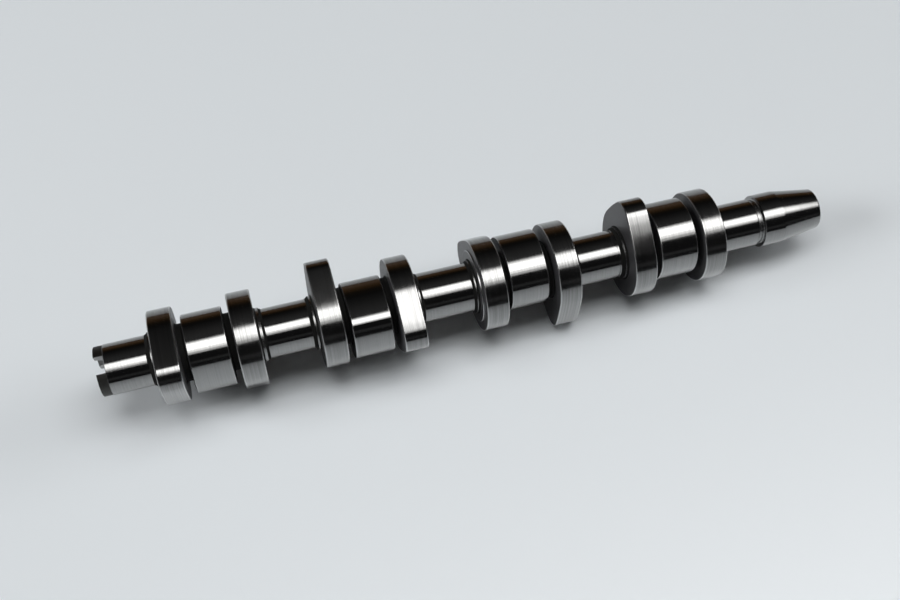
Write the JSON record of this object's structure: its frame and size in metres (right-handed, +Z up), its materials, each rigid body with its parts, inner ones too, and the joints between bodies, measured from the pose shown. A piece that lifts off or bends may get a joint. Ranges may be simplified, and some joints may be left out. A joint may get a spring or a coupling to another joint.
{
  "type": "camshaft",
  "caption": "Overhead camshaft of an inline diesel engine: ground journals, narrow valve lobes and wide injector lobes on one shaft, taper nose for the belt hub, drive slot at the rear.",
  "frame": {"origin": "on the shaft axis at the middle of the centre bearing journal", "axes": "+X along the shaft axis towards the taper nose, +Z up as the shaft lies on its lobes, +Y to the back of the shaft as it is seen from its front"},
  "size_m": [0.422, 0.0668, 0.0668],
  "materials": {
    "ground_iron": "ground and polished bright on the journals, lobes, seal land and taper; duller turned side faces"
  },
  "bodies": {
    "root": {"camshaft": "ground_iron"}
  },
  "joints": []
}
